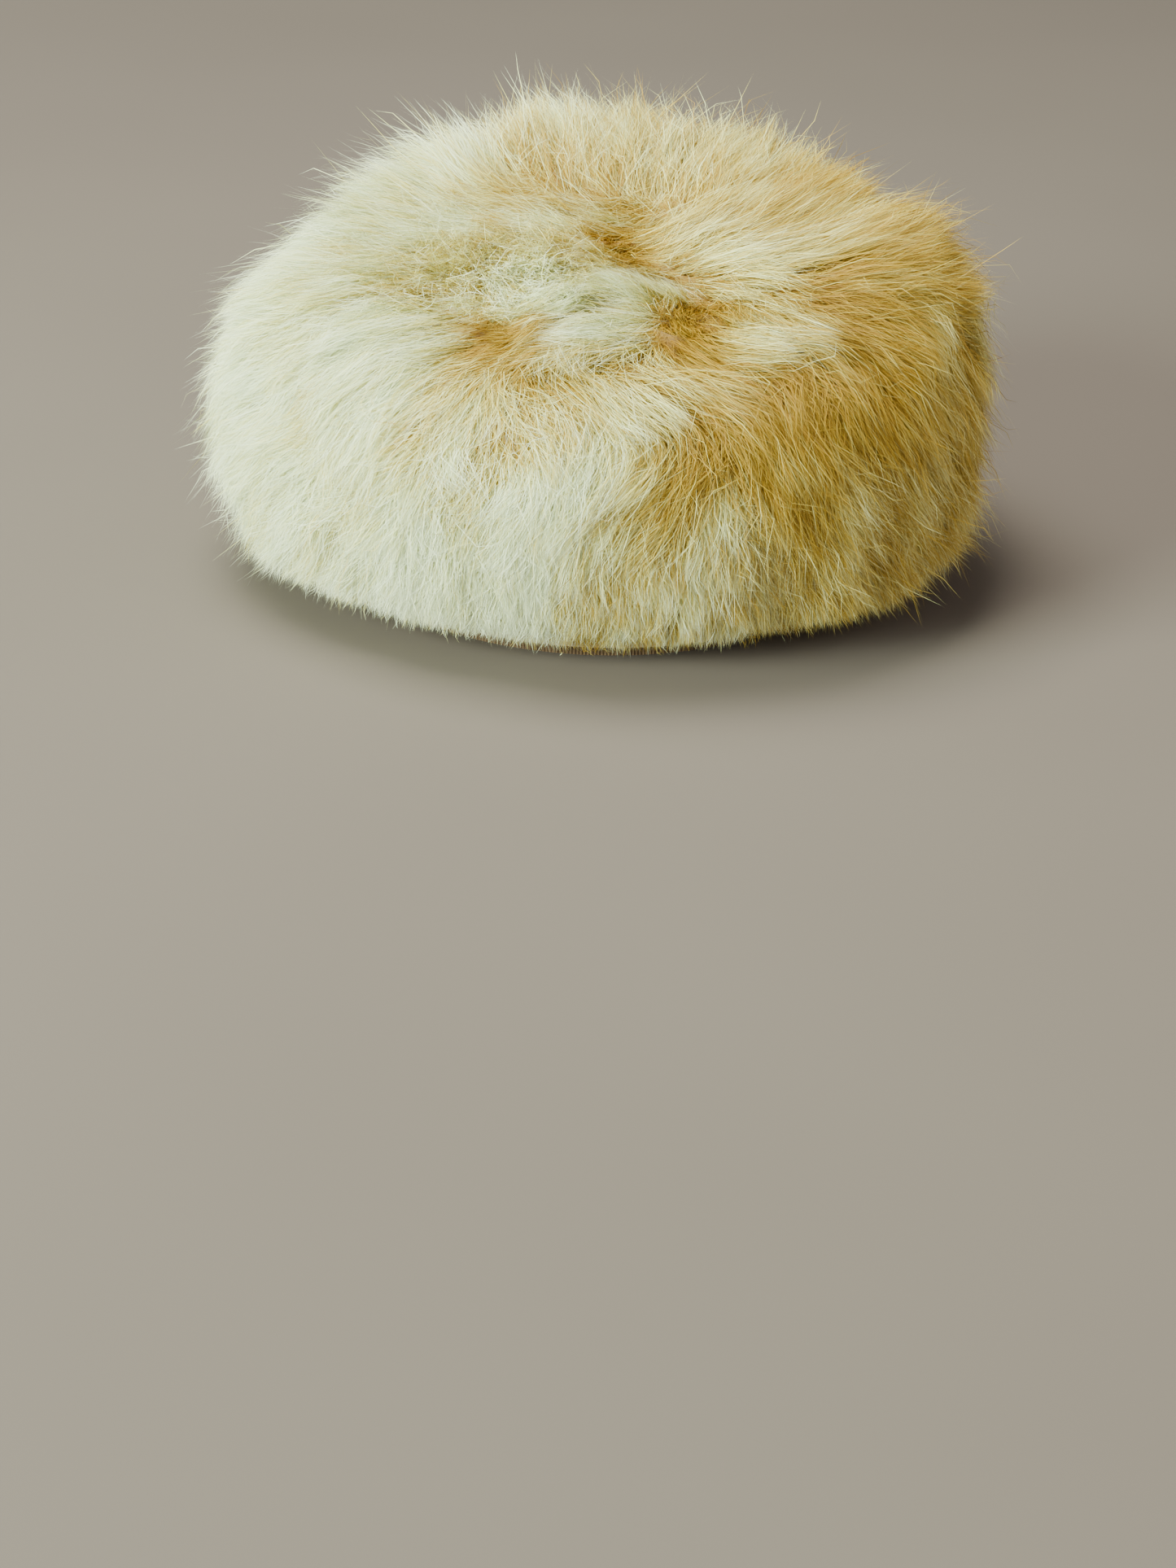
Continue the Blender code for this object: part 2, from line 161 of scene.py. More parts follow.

# Strokes of the comb: from one photo pixel to another, the way the hair lies, with lift
# (0 lies flat, 1 stands), tone (+ whiter, - more golden), length (1 is usual) and curl (0 is straight).
# Each row is name, from_x, from_y, to_x, to_y, lift, tone, length, curl. A strongly negative tone in
# the hollows, gaps and valleys is painted shade as well as golden roots, and the golden right and whiter
# left are partly painted shade and painted light, partly the fur's own colour.
STROKES = (
    ("white_swath", 803, 378, 660, 398, 0.30, 0.34, 1.10, 0.10),
    ("white_swath_low", 795, 415, 650, 425, 0.15, 0.20, 1.10, 0.10),
    ("swath_end", 660, 405, 590, 450, 0.10, 0.10, 1.00, 0.20),
    ("white_tuft", 812, 352, 778, 344, 0.70, 0.32, 0.80, 0.15),
    # Hollows and the notch: their strongly negative tones are painted shade over the golden roots
    ("left_hollow", 640, 408, 592, 428, -0.85, -1.00, 0.30, 0.10),
    ("right_hollow", 832, 360, 858, 446, -1.00, -1.05, 0.30, 0.10),
    ("right_hollow_edge", 868, 378, 884, 436, -0.60, -0.90, 0.50, 0.10),
    ("notch", 758, 250, 792, 325, -0.45, -0.75, 0.45, 0.20),
    ("curls_left", 560, 300, 600, 330, 0.40, -0.10, 0.65, 1.00),
    ("curls_middle", 640, 300, 610, 325, 0.35, -0.04, 0.65, 1.00),
    ("curls_low", 600, 365, 640, 378, 0.35, 0.02, 0.65, 1.00),
    ("curl_tuft_left", 568, 340, 590, 358, 0.50, 0.35, 0.80, 0.60),
    ("curl_tuft", 628, 330, 662, 352, 0.50, 0.40, 0.80, 0.60),
    ("curls_right", 720, 300, 690, 330, 0.35, -0.04, 0.70, 0.80),
    ("curls_far", 500, 330, 470, 360, 0.35, 0.10, 0.70, 0.80),
    ("back_sweep_left", 720, 262, 600, 275, 0.25, -0.02, 0.90, 0.50),
    ("back_sweep", 795, 246, 690, 262, 0.25, -0.05, 0.90, 0.40),
    # From here to right_hem the golden tones are partly painted shade of the side turned away from the
    # window light, partly the fur's own golden
    ("ridge_right_up", 815, 300, 938, 250, 0.30, -0.22, 1.10, 0.20),
    ("crest_white", 860, 262, 960, 205, 0.50, -0.28, 1.10, 0.15),
    ("crest_right", 936, 250, 1009, 205, 0.60, -0.50, 1.10, 0.15),
    ("crest_far_right", 1050, 298, 1135, 275, 0.70, -0.48, 1.20, 0.20),
    ("right_corner", 1115, 315, 1170, 340, 0.80, -0.45, 1.20, 0.20),
    ("sweep_right", 860, 312, 998, 296, 0.20, -0.12, 1.10, 0.10),
    ("sweep_far_right", 1040, 332, 1180, 335, 0.45, -0.54, 1.10, 0.10),
    ("shoulder_streak", 1060, 385, 1130, 420, 0.15, -0.72, 1.00, 0.10),
    ("ridge_fall", 910, 342, 960, 400, 0.25, -0.24, 1.00, 0.20),
    ("crossing_white", 900, 432, 985, 424, 0.20, 0.02, 1.00, 0.20),
    ("right_arc_start", 815, 460, 905, 470, 0.15, -0.05, 1.10, 0.10),
    ("right_arc", 880, 470, 950, 535, 0.10, -0.68, 1.10, 0.10),
    ("right_fall", 970, 450, 1000, 530, 0.10, -0.85, 1.10, 0.10),
    ("right_fall_low", 960, 560, 985, 660, 0.10, -0.54, 1.10, 0.20),
    ("right_side", 1070, 460, 1105, 560, 0.12, -0.58, 1.10, 0.10),
    ("right_silhouette", 1188, 400, 1200, 500, 0.20, -0.40, 1.10, 0.20),
    ("right_silhouette_low", 1196, 520, 1192, 600, 0.30, -0.40, 1.10, 0.20),
    ("right_side_far", 1150, 420, 1180, 520, 0.12, -0.42, 1.10, 0.10),
    ("right_side_low", 1080, 600, 1110, 700, 0.30, -0.33, 1.10, 0.20),
    ("right_edge_low", 1160, 580, 1175, 680, 0.45, -0.33, 1.10, 0.20),
    ("right_hem", 1060, 700, 1075, 770, 0.60, -0.33, 1.10, 0.25),
    ("front_line_right", 700, 462, 790, 530, 0.10, -0.05, 1.10, 0.15),
    ("front_fall_right", 775, 482, 840, 550, 0.10, -0.34, 1.10, 0.10),
    ("front_fork", 720, 480, 745, 545, 0.10, -0.08, 1.00, 0.20),
    ("front_white_swath", 800, 545, 706, 605, 0.35, 0.16, 1.20, 0.10),
    ("front_white_fall", 706, 600, 680, 672, 0.20, 0.22, 1.20, 0.15),
    ("front_ochre_sweep", 830, 610, 725, 695, 0.15, -0.20, 1.20, 0.10),
    # The dark sweep and gap: their strongly negative tones are painted shade over the golden roots
    ("front_dark_sweep", 858, 575, 800, 660, -0.20, -0.68, 1.00, 0.15),
    ("dark_gap", 880, 520, 848, 600, -0.30, -0.65, 0.80, 0.10),
    ("white_lock", 885, 650, 858, 745, 0.35, -0.02, 1.10, 0.10),
    ("white_lock_low", 858, 740, 872, 790, 0.25, 0.00, 1.00, 0.15),
    ("locks_right_low", 930, 680, 935, 765, 0.20, -0.22, 1.10, 0.30),
    ("left_front_lock", 625, 505, 672, 592, 0.25, 0.15, 1.10, 0.20),
    ("front_drop", 690, 502, 703, 568, 0.10, 0.05, 1.00, 0.20),
    ("front_left_sweep", 574, 488, 507, 550, 0.15, 0.00, 1.00, 0.20),
    ("front_left_fall", 560, 560, 525, 640, 0.15, 0.16, 1.10, 0.25),
    ("front_left_low", 505, 665, 495, 735, 0.15, 0.46, 1.10, 0.25),
    ("front_middle_low", 640, 665, 630, 725, 0.15, 0.32, 1.10, 0.20),
    ("front_hem", 735, 700, 745, 775, 0.15, -0.05, 1.10, 0.30),
    ("front_hem_left", 610, 720, 600, 775, 0.15, 0.36, 1.00, 0.25),
    # The valley: its strongly negative tone is painted shade over the golden roots
    ("valley_front", 575, 478, 720, 490, -0.45, -0.60, 0.70, 0.20),
    # From here to left_hem the whiter tones are partly painted light of the side the window light falls
    # on, partly paler fur
    ("left_crown_lock", 424, 359, 388, 405, 0.25, 0.35, 1.00, 0.15),
    ("left_crown_fall", 499, 387, 424, 445, 0.25, 0.30, 1.00, 0.20),
    ("left_shoulder", 424, 232, 345, 305, 0.20, 0.40, 1.10, 0.15),
    ("left_upper", 520, 200, 430, 260, 0.65, 0.28, 1.00, 0.20),
    ("left_belly_top", 350, 350, 300, 400, 0.55, 0.32, 1.00, 0.25),
    ("left_belly", 340, 450, 290, 520, 0.30, 0.32, 1.00, 0.25),
    ("left_belly_low", 340, 580, 305, 640, 0.30, 0.34, 1.00, 0.25),
    ("left_front", 430, 500, 385, 590, 0.20, 0.26, 1.10, 0.25),
    ("left_front_low", 430, 620, 400, 700, 0.18, 0.28, 1.10, 0.25),
    ("left_hem", 390, 700, 385, 745, 0.15, 0.30, 1.00, 0.25),
    ("back_crest_left", 545, 205, 500, 160, 0.85, 0.20, 1.00, 0.30),
    ("back_crest", 680, 190, 670, 130, 0.70, -0.05, 1.40, 0.30),
    ("back_crest_mid", 790, 190, 795, 120, 0.60, -0.18, 1.40, 0.30),
    ("back_crest_right", 890, 210, 920, 150, 0.65, -0.24, 1.40, 0.30),
    ("crown_left_back", 540, 250, 480, 285, 0.30, 0.20, 0.90, 0.50),
    ("crown_back", 660, 225, 610, 240, 0.20, -0.26, 0.90, 0.50),
)


def seen_at(x, y):
    """The direction of a photo pixel in the camera's own axes."""
    return Vector((x - IMAGE_WIDTH / 2, IMAGE_HEIGHT / 2 - y, -FOCAL_PIXELS)).normalized()


def place_camera():
    """The photograph's camera, turned so that the aimed point falls on its pixel with no lens shift."""
    tilt = math.radians(CAMERA_ELEVATION)
    away = Vector((0.0, -math.cos(tilt), math.sin(tilt)))
    data = bpy.data.cameras.new("camera")
    data.lens = FOCAL_PIXELS * SENSOR_MM / IMAGE_HEIGHT
    data.sensor_width = SENSOR_MM
    camera = bpy.data.objects.new("camera", data)
    bpy.context.scene.collection.objects.link(camera)
    turn = seen_at(AIM_PIXEL_X, AIM_PIXEL_Y).rotation_difference(Vector((0, 0, -1))).to_matrix().to_4x4()
    look = (-away).to_track_quat("-Z", "Y").to_matrix().to_4x4()
    roll = Matrix.Rotation(math.radians(CAMERA_ROLL), 4, "Z")
    camera.matrix_world = Matrix.Translation(AIM + CAMERA_DISTANCE * away) @ look @ roll @ turn
    bpy.context.scene.camera = camera
    return camera


def pixel_ray(camera, x, y):
    """Where the sight line through a photo pixel starts, and its direction."""
    return camera.matrix_world.translation, camera.matrix_world.to_3x3() @ seen_at(x, y)


def tree_of(*names):
    """One search tree for the faces of several CAD nodes."""
    points = []
    faces = []
    for name in names:
        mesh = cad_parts[name].data
        first = len(points)
        points.extend(v.co.copy() for v in mesh.vertices)
        faces.extend([first + i for i in p.vertices] for p in mesh.polygons)
    return BVHTree.FromPolygons(points, faces)


def smooth(field, rounds):
    """Averages a grid over its neighbours, round the azimuth and over the pole."""
    for _ in range(rounds):
        over_pole = np.roll(field[:1], AZIMUTHS // 2, axis=1)
        tall = np.concatenate((over_pole, field, field[-1:]), axis=0)
        field = 0.25 * tall[:-2] + 0.5 * field + 0.25 * tall[2:]
        field = 0.25 * np.roll(field, 1, axis=1) + 0.5 * field + 0.25 * np.roll(field, -1, axis=1)
    return field


def unit(vectors):
    """Vectors made one unit long."""
    return vectors / np.maximum(np.linalg.norm(vectors, axis=-1, keepdims=True), 1e-12)


def rays_at(polar, azimuth):
    """Unit rays by their angles from straight up and round the hat's axis."""
    flat = np.sin(polar)
    return np.stack((flat * np.cos(azimuth), flat * np.sin(azimuth), np.cos(polar) + 0 * azimuth), axis=-1)


class Shell:
    """The space between the skin and the outside of the fur, by direction from the hat's inside."""

    def __init__(self):
        self.centre = np.array(SHELL_CENTRE)
        azimuth = np.arange(AZIMUTHS) * 2 * math.pi / AZIMUTHS
        self.polar = np.linspace(0.0, LAST_POLAR, POLARS)
        self.rays = rays_at(self.polar[:, None], azimuth)
        skin = self.reach(tree_of("side_skin", "crown_skin"))
        fur = self.reach(tree_of("side_fur", "crown_fur"))
        height = SHELL_CENTRE[2] + np.nan_to_num(fur, nan=-1.0) * self.rays[..., 2]
        above = ~np.isnan(fur) & (height > LOWEST_ROOT)
        lowest = [np.nonzero(above[:, column])[0].max() for column in range(AZIMUTHS)]
        self.last_row = np.array(lowest)
        self.skin = smooth(self.carried_down(skin), SKIN_SMOOTHING)
        fur = smooth(self.carried_down(fur), FUR_SMOOTHING)
        self.depth = np.maximum(fur - self.skin, SMALLEST_DEPTH)
        outside = self.grid_at(NORMAL_LEVEL)
        across = np.roll(outside, -1, axis=1) - np.roll(outside, 1, axis=1)
        down = np.gradient(outside, axis=0)
        normal = unit(np.cross(down, across))
        normal[0] = unit(normal[1].mean(axis=0))
        self.normal = unit(smooth(normal, SKIN_SMOOTHING))
        self.outside = outside

    def reach(self, tree):
        """How far out from the centre the outermost face is in each direction."""
        found = np.full(self.rays.shape[:2], np.nan)
        centre = Vector(SHELL_CENTRE)
        for row in range(POLARS):
            for column in range(AZIMUTHS):
                ray = Vector(self.rays[row, column])
                hit = tree.ray_cast(centre + 0.3 * ray, -ray, 0.3)
                if hit[0] is not None:
                    found[row, column] = 0.3 - hit[3]
        return found

    def carried_down(self, found):
        """Rays that pass below the rim keep the last row's distance from the hat's axis."""
        wide = np.sin(self.polar)
        for row in range(1, POLARS):
            missing = np.isnan(found[row])
            found[row, missing] = found[row - 1, missing] * wide[row - 1] / wide[row]
        return found

    def grid_at(self, level):
        """The whole grid's places at one level."""
        return self.centre + self.rays * (self.skin + level * self.depth)[..., None]

    def look_up(self, rays, *fields):
        """Values of grid fields in any directions."""
        row = np.arccos(np.clip(rays[:, 2], -1, 1)) / LAST_POLAR * (POLARS - 1)
        row = np.clip(row, 0, POLARS - 1.001)
        column = np.mod(np.arctan2(rays[:, 1], rays[:, 0]) / (2 * math.pi), 1.0) * AZIMUTHS
        top = row.astype(int)
        left = column.astype(int) % AZIMUTHS
        right = (left + 1) % AZIMUTHS
        down = row - top
        over = column - np.floor(column)
        weights = ((1 - down) * (1 - over), (1 - down) * over, down * (1 - over), down * over)
        corners = ((top, left), (top, right), (top + 1, left), (top + 1, right))
        values = []
        for field in fields:
            shape = (len(rays),) + (1,) * (field.ndim - 2)
            values.append(sum(w.reshape(shape) * field[c] for w, c in zip(weights, corners)))
        return values

    def place(self, rays, level):
        """Places in the given directions, at levels between skin and outside."""
        skin, depth = self.look_up(rays, self.skin, self.depth)
        return self.centre + rays * (skin + level * depth)[:, None]


def waves(places, seed, size):
    """Smooth noise between about -1 and 1, with bumps of the given size in metres."""
    chance = np.random.default_rng(seed)
    total = np.zeros(places.shape[:-1])
    for _ in range(6):
        heading = unit(chance.normal(size=3)) * 2 * math.pi / (size * chance.uniform(0.8, 1.5))
        total += np.sin(places @ heading + chance.uniform(0, 2 * math.pi))
    return total / 2.6


def comb(shell, camera):
    """The lie of the hair on the grid: its direction, lift, tone, length and curl, the tone holding
    painted light and shade too.
    """
    fur = tree_of("side_fur", "crown_fur")
    places = shell.outside
    outward = places - shell.centre
    outward[..., 2] = 0
    sideways = np.stack((-outward[..., 1], outward[..., 0], 0 * outward[..., 2]), axis=-1)
    crown = np.clip((shell.normal[..., 2] - 0.25) / 0.5, 0, 1)[..., None]
    turned = waves(places, 11, 0.09)[..., None]
    heading = crown * (unit(outward) + 0.9 * turned * unit(sideways))
    heading = heading + (1 - crown) * (np.array((0, 0, -1.0)) + 0.45 * turned * unit(sideways))
    usual = np.concatenate(
        (
            heading,
            USUAL_LIFT + 0.10 * waves(places, 12, 0.05)[..., None],
            # painted light to the left and painted shade to the right, partly the fur's own colour
            USUAL_TONE + CROWN_TONE * crown + SIDE_TONE_LIGHT_AND_SHADE * outward[..., :1]
            + 0.14 * waves(places, 13, 0.045)[..., None],
            1.00 + 0.08 * waves(places, 14, 0.05)[..., None],
            USUAL_CURL + 0.05 * crown,
        ),
        axis=-1,
    )
    total = USUAL_WEIGHT * usual
    weight = np.full(places.shape[:-1] + (1,), USUAL_WEIGHT)
    right = np.array(camera.matrix_world.to_3x3() @ Vector((1, 0, 0)))
    up = np.array(camera.matrix_world.to_3x3() @ Vector((0, 1, 0)))
    for _, from_x, from_y, to_x, to_y, lift, tone, length, curl in STROKES:
        on_image = (to_x - from_x) * right - (to_y - from_y) * up
        for part_way in (0.1, 0.5, 0.9):
            pixel_x = from_x + part_way * (to_x - from_x)
            pixel_y = from_y + part_way * (to_y - from_y)
            start, sight = pixel_ray(camera, pixel_x, pixel_y)
            hit = fur.ray_cast(start, sight)
            if hit[0] is None:
                continue
            spot = np.array(hit[0])
            ray = unit(spot - shell.centre)
            normal = shell.look_up(ray[None], shell.normal)[0][0]
            facing = min(float(np.dot(np.array(sight), normal)), -0.25)
            lying = unit(on_image) - np.array(sight) * float(np.dot(unit(on_image), normal)) / facing
            near = np.exp(-((np.linalg.norm(places - spot, axis=-1) / STROKE_REACH) ** 2))
            same_side = np.clip((shell.normal @ normal) * 1.5, 0, 1)
            share = (near * same_side)[..., None]
            total = total + share * np.concatenate((unit(lying), (lift, tone, length, curl)))
            weight = weight + share
    mixed = total / weight
    heading = mixed[..., :3]
    heading = heading - shell.normal * (heading * shell.normal).sum(axis=-1, keepdims=True)
    return unit(heading), mixed[..., 3], mixed[..., 4], mixed[..., 5], mixed[..., 6]


def scattered(shell, chance, count):
    """Random directions, spread evenly over the hat's outside above the rim."""
    grid = shell.grid_at(SPACING_LEVEL)
    across = np.linalg.norm(np.roll(grid, -1, axis=1) - grid, axis=-1)
    down = np.linalg.norm(np.diff(grid, axis=0, append=grid[-1:]), axis=-1)
    area = across * down
    rows = np.arange(POLARS)[:, None] + 0 * area
    area[rows >= shell.last_row[None, :]] = 0
    picked = chance.choice(area.size, count, p=(area / area.sum()).ravel())
    row = picked // AZIMUTHS + chance.uniform(0, 1, count)
    column = picked % AZIMUTHS + chance.uniform(0, 1, count)
    polar = row / (POLARS - 1) * LAST_POLAR
    azimuth = column / AZIMUTHS * 2 * math.pi
    return rays_at(polar, azimuth)


def nearest(places, others):
    """For each place, which of the others is nearest."""
    found = np.empty(len(places), dtype=int)
    size = (others**2).sum(axis=1)
    for start in range(0, len(places), 4000):
        block = places[start : start + 4000]
        found[start : start + 4000] = (size - 2 * block @ others.T).argmin(axis=1)
    return found


def evened(shell, rays, chance):
    """Directions moved to the middle of their share of the surface, so they are spaced evenly."""
    for _ in range(3):
        crowd = shell.place(scattered(shell, chance, 24000), SPACING_LEVEL)
        owner = nearest(crowd, shell.place(rays, SPACING_LEVEL))
        total = np.zeros((len(rays), 3))
        np.add.at(total, owner, crowd - shell.centre)
        held = np.bincount(owner, minlength=len(rays)) > 0
        rays = np.where(held[:, None], unit(total + 1e-9), rays)
    return rays


def grow(shell, lie, rays, chance, spread, height, length, guide=None, owner=None, pull=0.0):
    """Paths of hairs from their roots, as places for each step, pulled towards guide paths if given."""
    heading, lift, _, reach, curl = lie
    count = len(rays)
    low = np.clip((shell.place(rays, 1.0)[:, 2] - LOWEST_ROOT) / HEM_HEIGHT, 0, 1)
    root_curl = shell.look_up(rays, curl)[0] + HEM_CURL * (1 - low)
    swing = chance.normal(size=count) * spread * (0.50 + 2.2 * root_curl)
    bend = chance.normal(size=count) * spread * (0.80 + 3.0 * root_curl)
    sway = chance.normal(size=count) * spread * 0.9
    phase = chance.uniform(0, 2 * math.pi, count)
    level = np.full(count, ROOT_LEVEL) + chance.uniform(-0.05, 0.05, count)
    travel = STRAND_LENGTH * length * (HEM_SHARE + (1 - HEM_SHARE) * low) / STEPS
    path = np.empty((count, STEPS + 1, 3))
    here = shell.place(rays, level)
    path[:, 0] = here
    for step in range(1, STEPS + 1):
        t = step / STEPS
        ray = unit(here - shell.centre)
        flow, normal, local_lift, local_reach = shell.look_up(ray, heading, shell.normal, lift, reach)
        flow = unit(flow)
        side = np.cross(normal, flow)
        angle = swing + bend * (t - 0.4) + sway * np.sin(2 * math.pi * t + phase)
        flow = flow * np.cos(angle)[:, None] + side * np.sin(angle)[:, None]
        forward = travel * local_reach * (1 - 0.5 * np.clip(local_lift, 0, 1))
        ray = unit(here + flow * forward[:, None] - shell.centre)
        rise = 1 - (1 - t) ** RISE_POWER
        tip = np.maximum(TIP_LEVEL + LIFT_RISE * (local_lift - USUAL_LIFT), LOWEST_LEVEL) * height
        followed = shell.place(ray, level + (tip - level) * rise)
        hanging = here + forward[:, None] * (normal * (0.30, 0.30, 0.0) + (0.0, 0.0, -HANG_DROP))
        hang = HANG_SHARE * np.clip((-normal[:, 2] - 0.15) / 0.5, 0, 1)[:, None]
        here = followed + (hanging - followed) * hang
        if guide is not None:
            hold = pull[:, None] * t**PULL_POWER
            here = here + (guide[owner, step] - here) * hold * PULL_SHARE
        path[:, step] = here
    return path


def ended_above(paths, chance):
    """Shortens the hairs that hang in front of the band, so that it shows between a few long ones."""
    count = len(paths)
    x, y = (paths[:, RIM_STEP, :2] - SHELL_CENTRE[:2]).T
    beyond = np.clip(np.hypot(x / RIM_HALF_X, y / RIM_HALF_Y) - 1, 0, 1) * RIM_HALF_Y
    hanging = chance.uniform(0, 1, count) < HANGING_SHARE
    front = np.clip(-y / RIM_HALF_Y, 0, 1) ** 2
    rise = (SIDE_RISE + FRONT_RISE * front) * beyond
    floor = HEM_FLOOR + rise + HEM_RAGGED * chance.uniform(0, 1, count)
    floor = np.where(hanging, LOWEST_TIP + floor * chance.uniform(0, 0.6, count), floor)
    low = paths[..., 2] < floor[:, None]
    first = np.where(low.any(axis=1), low.argmax(axis=1), STEPS + 1)
    before = np.clip(first - 1, 0, STEPS)
    after = np.clip(first, 0, STEPS)
    each = np.arange(count)
    drop = np.maximum(paths[each, before, 2] - paths[each, after, 2], 1e-6)
    part = np.clip((paths[each, before, 2] - floor) / drop, 0, 1)
    end = np.where(first > STEPS, STEPS, np.maximum(before + part, 1.0))
    steps = end[:, None] * np.arange(STEPS + 1) / STEPS
    lower = np.minimum(steps.astype(int), STEPS - 1)
    over = (steps - lower)[..., None]
    shortened = paths[each[:, None], lower] * (1 - over) + paths[each[:, None], lower + 1] * over
    shortened[..., 2] = np.clip(shortened[..., 2], LOWEST_TIP, HIGHEST_TIP)
    return shortened


def strand_paths(shell, lie):
    """Every strand's path, width and tone, from clumps to tufts to strands."""
    chance = np.random.default_rng(7)
    clump_rays = evened(shell, scattered(shell, chance, CLUMPS), chance)
    clump_size = chance.uniform(0.87, 1.14, CLUMPS)
    clump_length = chance.uniform(0.8, 1.2, CLUMPS)
    clumps = grow(shell, lie, clump_rays, chance, CLUMP_SPREAD, clump_size, clump_length)
    clump_roots = shell.place(clump_rays, SPACING_LEVEL)
    tuft_rays = scattered(shell, chance, TUFTS)
    tuft_roots = shell.place(tuft_rays, SPACING_LEVEL)
    owner = nearest(tuft_roots, clump_roots)
    off = np.linalg.norm(tuft_roots - clump_roots[owner], axis=1)
    aside = np.clip(off / CLUMP_REACH, 0, 1.3) ** 2
    height = clump_size[owner] * (1.06 - 0.22 * aside)
    tuft_size = height * chance.uniform(0.95, 1.05, TUFTS)
    tuft_length = chance.uniform(0.8, 1.15, TUFTS)
    pull = chance.uniform(0.35, 0.95, TUFTS)
    tufts = grow(shell, lie, tuft_rays, chance, TUFT_SPREAD, tuft_size, tuft_length, clumps, owner, pull)
    count = len(HAIR_PIECES) * (LONG_A_PIECE + SHORT_A_PIECE)
    mine = chance.integers(0, TUFTS, count)
    moved = tuft_roots[mine] + chance.normal(size=(count, 3)) * TUFT_RADIUS * 0.6
    rays = unit(moved - shell.centre)
    loose = chance.uniform(0, 1, count) < LOOSE_SHARE
    spread = np.where(loose, LOOSE_SPREAD, STRAND_SPREAD)
    strength = np.where(loose, 0.05, chance.uniform(0.25, 0.90, count))
    proud = chance.uniform(0.92, 1.12, count) + 0.35 * chance.uniform(0, 1, count) ** 6
    size = height[mine] * np.where(loose, proud, chance.uniform(0.78, 1.04, count))
    length = chance.uniform(0.65, 1.15, count)
    paths = grow(shell, lie, rays, chance, spread, size, length, tufts, mine, strength)
    curl, tone = shell.look_up(unit(paths[:, TONE_STEP] - shell.centre), lie[4], lie[2])
    wobble = chance.normal(size=(count, STEPS + 1, 3)) * WOBBLE
    wobble = np.cumsum(wobble, axis=1) * (0.5 + 2.5 * curl)[:, None, None]
    paths = paths + wobble
    varied = CLUMP_TONE * chance.normal(size=CLUMPS)[owner[mine]]
    varied = varied + TUFT_TONE * chance.normal(size=TUFTS)[mine]
    # Painted shade: strands at a clump's edge darker, those in its middle lighter
    varied = varied + PAINTED_CLUMP_SHADE * (0.6 - aside[mine])
    varied = varied + STRAND_TONE * (chance.exponential(size=count) - 0.95)
    tones = 0.5 + 0.85 * tone + varied * np.clip(1.1 - 1.2 * np.abs(tone), 0.50, 1.0)
    tones = np.minimum(tones, 0.74 + 0.6 * tone)
    widths = STRAND_WIDTH * chance.uniform(0.65, 1.2, count) * np.where(loose, 0.75, 1.0)
    return rays, ended_above(paths, chance), widths, np.clip(tones, 0.02, 0.98), chance


def ribbon_parts(shell, paths, widths, tones, kept, chance):
    """Corners, faces and map of tapering strands, each a flat ribbon rolled about its line by chance."""
    points = paths[:, kept]
    count, rows = points.shape[:2]
    ahead = unit(np.gradient(points, axis=1))
    normal = shell.look_up(unit(points[:, 1] - shell.centre), shell.normal)[0][:, None, :]
    side = unit(np.cross(ahead, normal))
    roll = chance.normal(size=(count, 1, 1)) * 0.6
    side = side * np.cos(roll) + np.cross(ahead, side) * np.sin(roll)
    taper = np.interp(np.linspace(0, 1, rows)[:-1], (0, 0.4, 1), (0.9, 1.0, 0.5))
    half = side[:, :-1] * (widths[:, None, None] * 0.5 * taper[None, :, None])
    corners = np.empty((count, 2 * rows - 1, 3))
    corners[:, 0:-1:2] = points[:, :-1] - half
    corners[:, 1:-1:2] = points[:, :-1] + half
    corners[:, -1] = points[:, -1]
    loops = []
    starts = []
    for row in range(rows - 2):
        starts.append(len(loops))
        loops += [2 * row, 2 * row + 1, 2 * row + 3, 2 * row + 2]
    starts.append(len(loops))
    loops += [2 * rows - 4, 2 * rows - 3, 2 * rows - 2]
    along = np.array(kept) / STEPS
    map_x = np.append(np.repeat(along[:-1], 2), along[-1])
    map_y = np.append(np.tile((-MAP_HALF, MAP_HALF), rows - 1), 0.0)
    spots = np.empty((count, len(loops), 2))
    spots[..., 0] = map_x[loops][None]
    spots[..., 1] = tones[:, None] + map_y[loops][None]
    return corners, np.array(loops), np.array(starts), spots


def ribbons(name, parts, material):
    """One mesh of the strands in several sets of parts."""
    corners = []
    indices = []
    starts = []
    spots = []
    first_corner = 0
    first_loop = 0
    for part_corners, loops, part_starts, part_spots in parts:
        count, size = part_corners.shape[:2]
        order = np.arange(count)[:, None]
        corners.append(part_corners.reshape(-1, 3))
        indices.append((first_corner + order * size + loops[None]).ravel())
        starts.append((first_loop + order * len(loops) + part_starts[None]).ravel())
        spots.append(part_spots.reshape(-1, 2))
        first_corner += count * size
        first_loop += count * len(loops)
    corners = np.concatenate(corners).astype(np.float32)
    indices = np.concatenate(indices).astype(np.int32)
    starts = np.concatenate(starts).astype(np.int32)
    spots = np.concatenate(spots).astype(np.float32)
    mesh = bpy.data.meshes.new(name)
    mesh.vertices.add(len(corners))
    mesh.vertices.foreach_set("co", corners.ravel())
    mesh.loops.add(len(indices))
    mesh.loops.foreach_set("vertex_index", indices)
    mesh.polygons.add(len(starts))
    mesh.polygons.foreach_set("loop_start", starts)
    mesh.update(calc_edges=True)
    mesh.uv_layers.new(name="OFBake").data.foreach_set("uv", spots.ravel())
    mesh.shade_smooth()
    mesh.materials.append(material)
    piece = bpy.data.objects.new(name, mesh)
    bpy.context.scene.collection.objects.link(piece)
    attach(piece, "root")
    return piece


